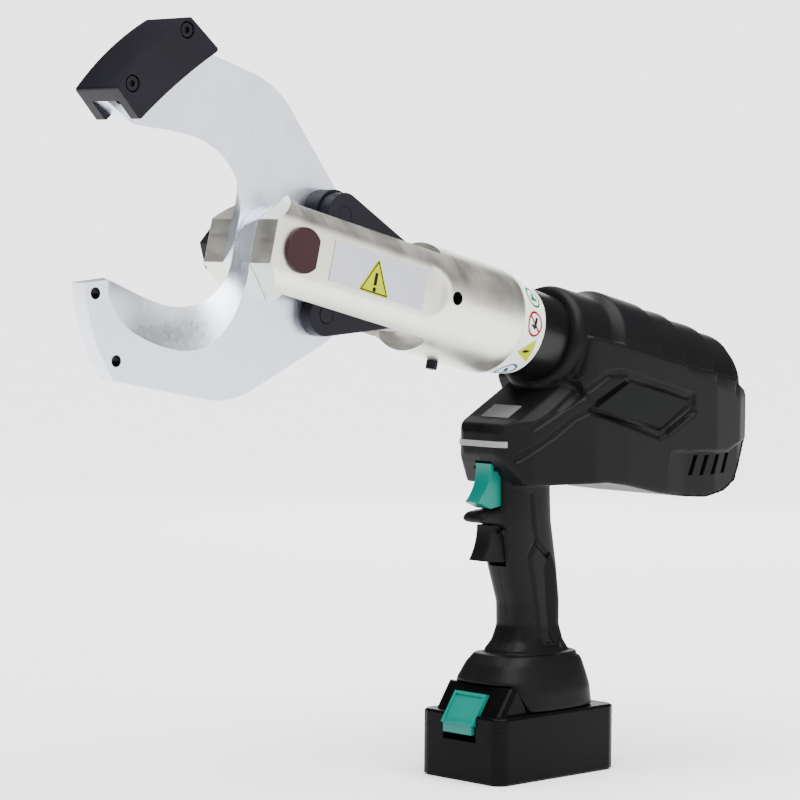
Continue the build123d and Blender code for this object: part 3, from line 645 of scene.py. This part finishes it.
def half_of(skin, side):
    bm = skin.copy()
    geometry = bm.verts[:] + bm.edges[:] + bm.faces[:]
    cut = bmesh.ops.bisect_plane(
        bm, geom=geometry, plane_co=(0, side * 0.12 * MM, 0), plane_no=(0, -side, 0), clear_outer=True
    )
    rim = [item for item in cut["geom_cut"] if isinstance(item, bmesh.types.BMEdge)]
    bmesh.ops.holes_fill(bm, edges=rim, sides=0)
    return bm


def make_housing():
    skin = combined(smooth_skin(), openings(), "DIFFERENCE")
    for node, side in (("housing_left", -1), ("housing_right", 1)):
        piece = as_object(half_of(skin, side), node + "_skin", body_of(node), SHELL, 42.0)
        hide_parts(node)
    skin.free()


make_head()
make_drive()
make_housing()
for node, material, edge in (
    ("nose_window", WINDOW, 0.3 * MM), ("led_lens", LENS, 0.1 * MM), ("side_badges", BADGE, 0.4 * MM),
    ("grip_pads", PAD, 0.3 * MM), ("trigger", TEAL, 0.4 * MM), ("retract_trigger", SHELL, 0.4 * MM),
    ("battery_lower_case", GLOSS, 0.5 * MM), ("battery_upper_case", GLOSS, 0.5 * MM),
    ("battery_latch", TEAL, 0.6 * MM), ("caution_label", YELLOW, 0),
):
    finished(node, material, edge)


# --- printed marks --------------------------------------------------------------------
CONE = [(200.5, 35.3), (227.0, 29.9)]   # tapered end: distance from the blade pivot, radius


def cone_radius(u):
    (u0, r0), (u1, r1) = CONE
    return r0 + (r1 - r0) * (u - u0) / (u1 - u0)


def wrap_on_cone(bm, turn, u_middle, lift):
    """Bends a flat mark, drawn in (x, y), round the tapered end of the barrel."""
    for vert in bm.verts:
        u = u_middle + vert.co.x / MM
        radius = cone_radius(u_middle)
        angle = math.radians(turn) + vert.co.y / MM / radius
        reach = cone_radius(u) + lift + vert.co.z / MM
        vert.co = (u * MM, -reach * math.cos(angle) * MM, reach * math.sin(angle) * MM)
    place(bm, ON_BARREL)


def flat_disc(radius, segments=24):
    bm = fresh()
    bmesh.ops.create_circle(bm, cap_ends=True, segments=segments, radius=radius * MM)
    return bm


def flat_ring(outer, inner, segments=48):
    """A flat ring in (x, y)."""
    bm = fresh()
    edges = []
    for radius in (outer, inner):
        made = bmesh.ops.create_circle(bm, segments=segments, radius=radius * MM)
        edges += list({edge for vert in made["verts"] for edge in vert.link_edges})
    bmesh.ops.bridge_loops(bm, edges=edges)
    return bm


def flat_triangle(radius, inner=0.0):
    """A flat triangle in (x, y), point up; with an inner radius, only its border."""
    bm = flat_ring(radius, inner, 3) if inner else flat_disc(radius, 3)
    bmesh.ops.subdivide_edges(bm, edges=bm.edges[:], cuts=5, use_grid_fill=True)
    return bm


def flat_bar(length, width, turn=0.0, at=(0, 0)):
    bm = fresh()
    bmesh.ops.create_grid(bm, x_segments=6, y_segments=2, size=0.5)
    bmesh.ops.scale(bm, vec=(width * MM, length * MM, 1), verts=bm.verts)
    bmesh.ops.rotate(bm, matrix=Matrix.Rotation(math.radians(turn), 3, "Z"), verts=bm.verts)
    bmesh.ops.translate(bm, vec=(at[0] * MM, at[1] * MM, 0), verts=bm.verts)
    return bm


def raise_print(bm):
    """Gives a flat mark the thickness of its ink."""
    made = bmesh.ops.extrude_face_region(bm, geom=bm.faces[:])
    raised = [item for item in made["geom"] if isinstance(item, bmesh.types.BMVert)]
    bmesh.ops.translate(bm, vec=(0, 0, 0.06 * MM), verts=raised)
    return bm


def make_ring_marks():
    """Four generic round and three-cornered signs round the barrel's label band."""
    middle = 213.7
    warning = flat_triangle(10.8)
    bmesh.ops.rotate(warning, matrix=Matrix.Rotation(math.radians(90), 3, "Z"), verts=warning.verts)
    bmesh.ops.translate(warning, vec=(2.2 * MM, 0, 0), verts=warning.verts)
    signs = [
        ("sign_green", GREEN, [flat_ring(7.8, 6.3), flat_bar(6, 3), flat_bar(2.6, 7, 0, (0, -1.7))], 37),
        ("sign_red", RED, [flat_ring(8.6, 7.0), flat_bar(14.4, 1.6, 45)], 3),
        ("sign_dark", INK_AND_BORE_SHADE, [flat_bar(8, 2.8, -20, (0.6, 0.4)), flat_bar(5, 2.0, 60, (-1.6, -1.8))], 3),
        ("sign_yellow", YELLOW, [warning], -31),
        ("sign_ink", INK_AND_BORE_SHADE, [flat_bar(1.8, 6.4, 0, (0.4, 0)), flat_disc(1.2)], -31),
        ("sign_blue", BLUE, [flat_ring(8.2, 6.6), flat_bar(8, 2.6, 30)], -66),
    ]
    for name, material, parts, turn in signs:
        lift = 0.42 if material is INK_AND_BORE_SHADE else 0.33
        bm = joined(parts)
        # marks are drawn upright: their x runs round the band and their y along it
        raise_print(bm)
        bmesh.ops.rotate(bm, matrix=Matrix.Rotation(math.radians(8), 3, "Z"), verts=bm.verts)
        wrap_on_cone(bm, turn, middle, lift)
        as_object(bm, name, "head", material)


def make_caution_marks():
    """Dark border, bar and dot on the yellow caution triangle."""
    border = flat_triangle(14.0, 12.4)
    bar = flat_bar(8.0, 2.6, 0, (0, 2.0))
    dot = flat_disc(1.5)
    bmesh.ops.translate(dot, vec=(0, -4.6 * MM, 0), verts=dot.verts)
    bm = joined([border, bar, dot])
    raise_print(bm)
    on_plate = Matrix.Translation((65 * MM, -EAR_FACE - 0.24 * MM, -4.9 * MM))
    upright = Matrix.Rotation(math.radians(90), 4, "X")
    place(bm, ON_BARREL @ on_plate @ upright)
    as_object(bm, "caution_marks", "head", INK_AND_BORE_SHADE)


# --- floor, light and camera ----------------------------------------------------------
def make_stage():
    bm = fresh()
    bmesh.ops.create_grid(bm, x_segments=1, y_segments=1, size=60.0)
    mesh = bpy.data.meshes.new("floor")
    bm.to_mesh(mesh)
    bm.free()
    floor = bpy.data.objects.new("floor", mesh)
    bpy.context.scene.collection.objects.link(floor)
    material, tree, shader = new_material("floor_paper", (0.93, 0.93, 0.93), 0.9)
    mesh.materials.append(material)


def soft_light(name, place_at, aim, size, power, color=(1, 1, 1)):
    data = bpy.data.lights.new(name, "AREA")
    data.shape = "RECTANGLE"
    data.size = size[0]
    data.size_y = size[1]
    data.energy = power
    data.color = color
    lamp = bpy.data.objects.new(name, data)
    bpy.context.scene.collection.objects.link(lamp)
    lamp.location = place_at
    lamp.rotation_euler = (Vector(aim) - Vector(place_at)).to_track_quat("-Z", "Y").to_euler()


def make_light():
    """A white room to look at, kept dim for the object itself, and soft boxes round it."""
    world = bpy.data.worlds.new("studio")
    bpy.context.scene.world = world
    world.use_nodes = True
    tree = world.node_tree
    room = tree.nodes["Background"]
    room.inputs["Color"].default_value = (1, 1, 1, 1)
    room.inputs["Strength"].default_value = 0.12
    backdrop = tree.nodes.new("ShaderNodeBackground")
    backdrop.inputs["Strength"].default_value = 3.9
    rays = tree.nodes.new("ShaderNodeLightPath")
    choose = tree.nodes.new("ShaderNodeMixShader")
    tree.links.new(rays.outputs["Is Camera Ray"], choose.inputs["Fac"])
    tree.links.new(room.outputs["Background"], choose.inputs[1])
    tree.links.new(backdrop.outputs["Background"], choose.inputs[2])
    tree.links.new(choose.outputs["Shader"], tree.nodes["World Output"].inputs["Surface"])
    aim = (-0.1, 0, 0.26)
    sky = bpy.data.lights.new("sky", "SUN")
    sky.energy = 11.0
    sky.angle = math.radians(75)
    overhead = bpy.data.objects.new("sky", sky)
    overhead.rotation_euler = (math.radians(10), math.radians(-6), 0)
    bpy.context.scene.collection.objects.link(overhead)
    soft_light("front_left", (-1.9, -0.9, 0.9), aim, (0.9, 1.6), 1.5)
    soft_light("side", (0.6, -2.0, 0.9), aim, (1.6, 0.6), 10)
    soft_light("back", (1.4, 1.3, 1.0), aim, (1.0, 1.4), 12)


def make_camera():
    """Seen from the front left, a little above the base, with a long lens."""
    azimuth, elevation, roll = math.radians(-44.335), math.radians(3.19), math.radians(0.525)
    target = Vector((-0.115644, 0, 0.256408))
    distance = 2.058705
    back = Vector((
        math.sin(azimuth) * math.cos(elevation), -math.cos(azimuth) * math.cos(elevation),
        math.sin(elevation)
    ))
    right = Vector((math.cos(azimuth), math.sin(azimuth), 0))
    up = back.cross(right)
    tilted_right = math.cos(roll) * right + math.sin(roll) * up
    tilted_up = math.cos(roll) * up - math.sin(roll) * right
    data = bpy.data.cameras.new("camera")
    data.sensor_width = 36
    data.lens = 142.43
    camera = bpy.data.objects.new("camera", data)
    bpy.context.scene.collection.objects.link(camera)
    turn = Matrix((tilted_right, tilted_up, back)).transposed().to_4x4()
    camera.matrix_world = Matrix.Translation(target + back * distance) @ turn
    bpy.context.scene.camera = camera


make_ring_marks()
make_caution_marks()
make_stage()
make_light()
make_camera()
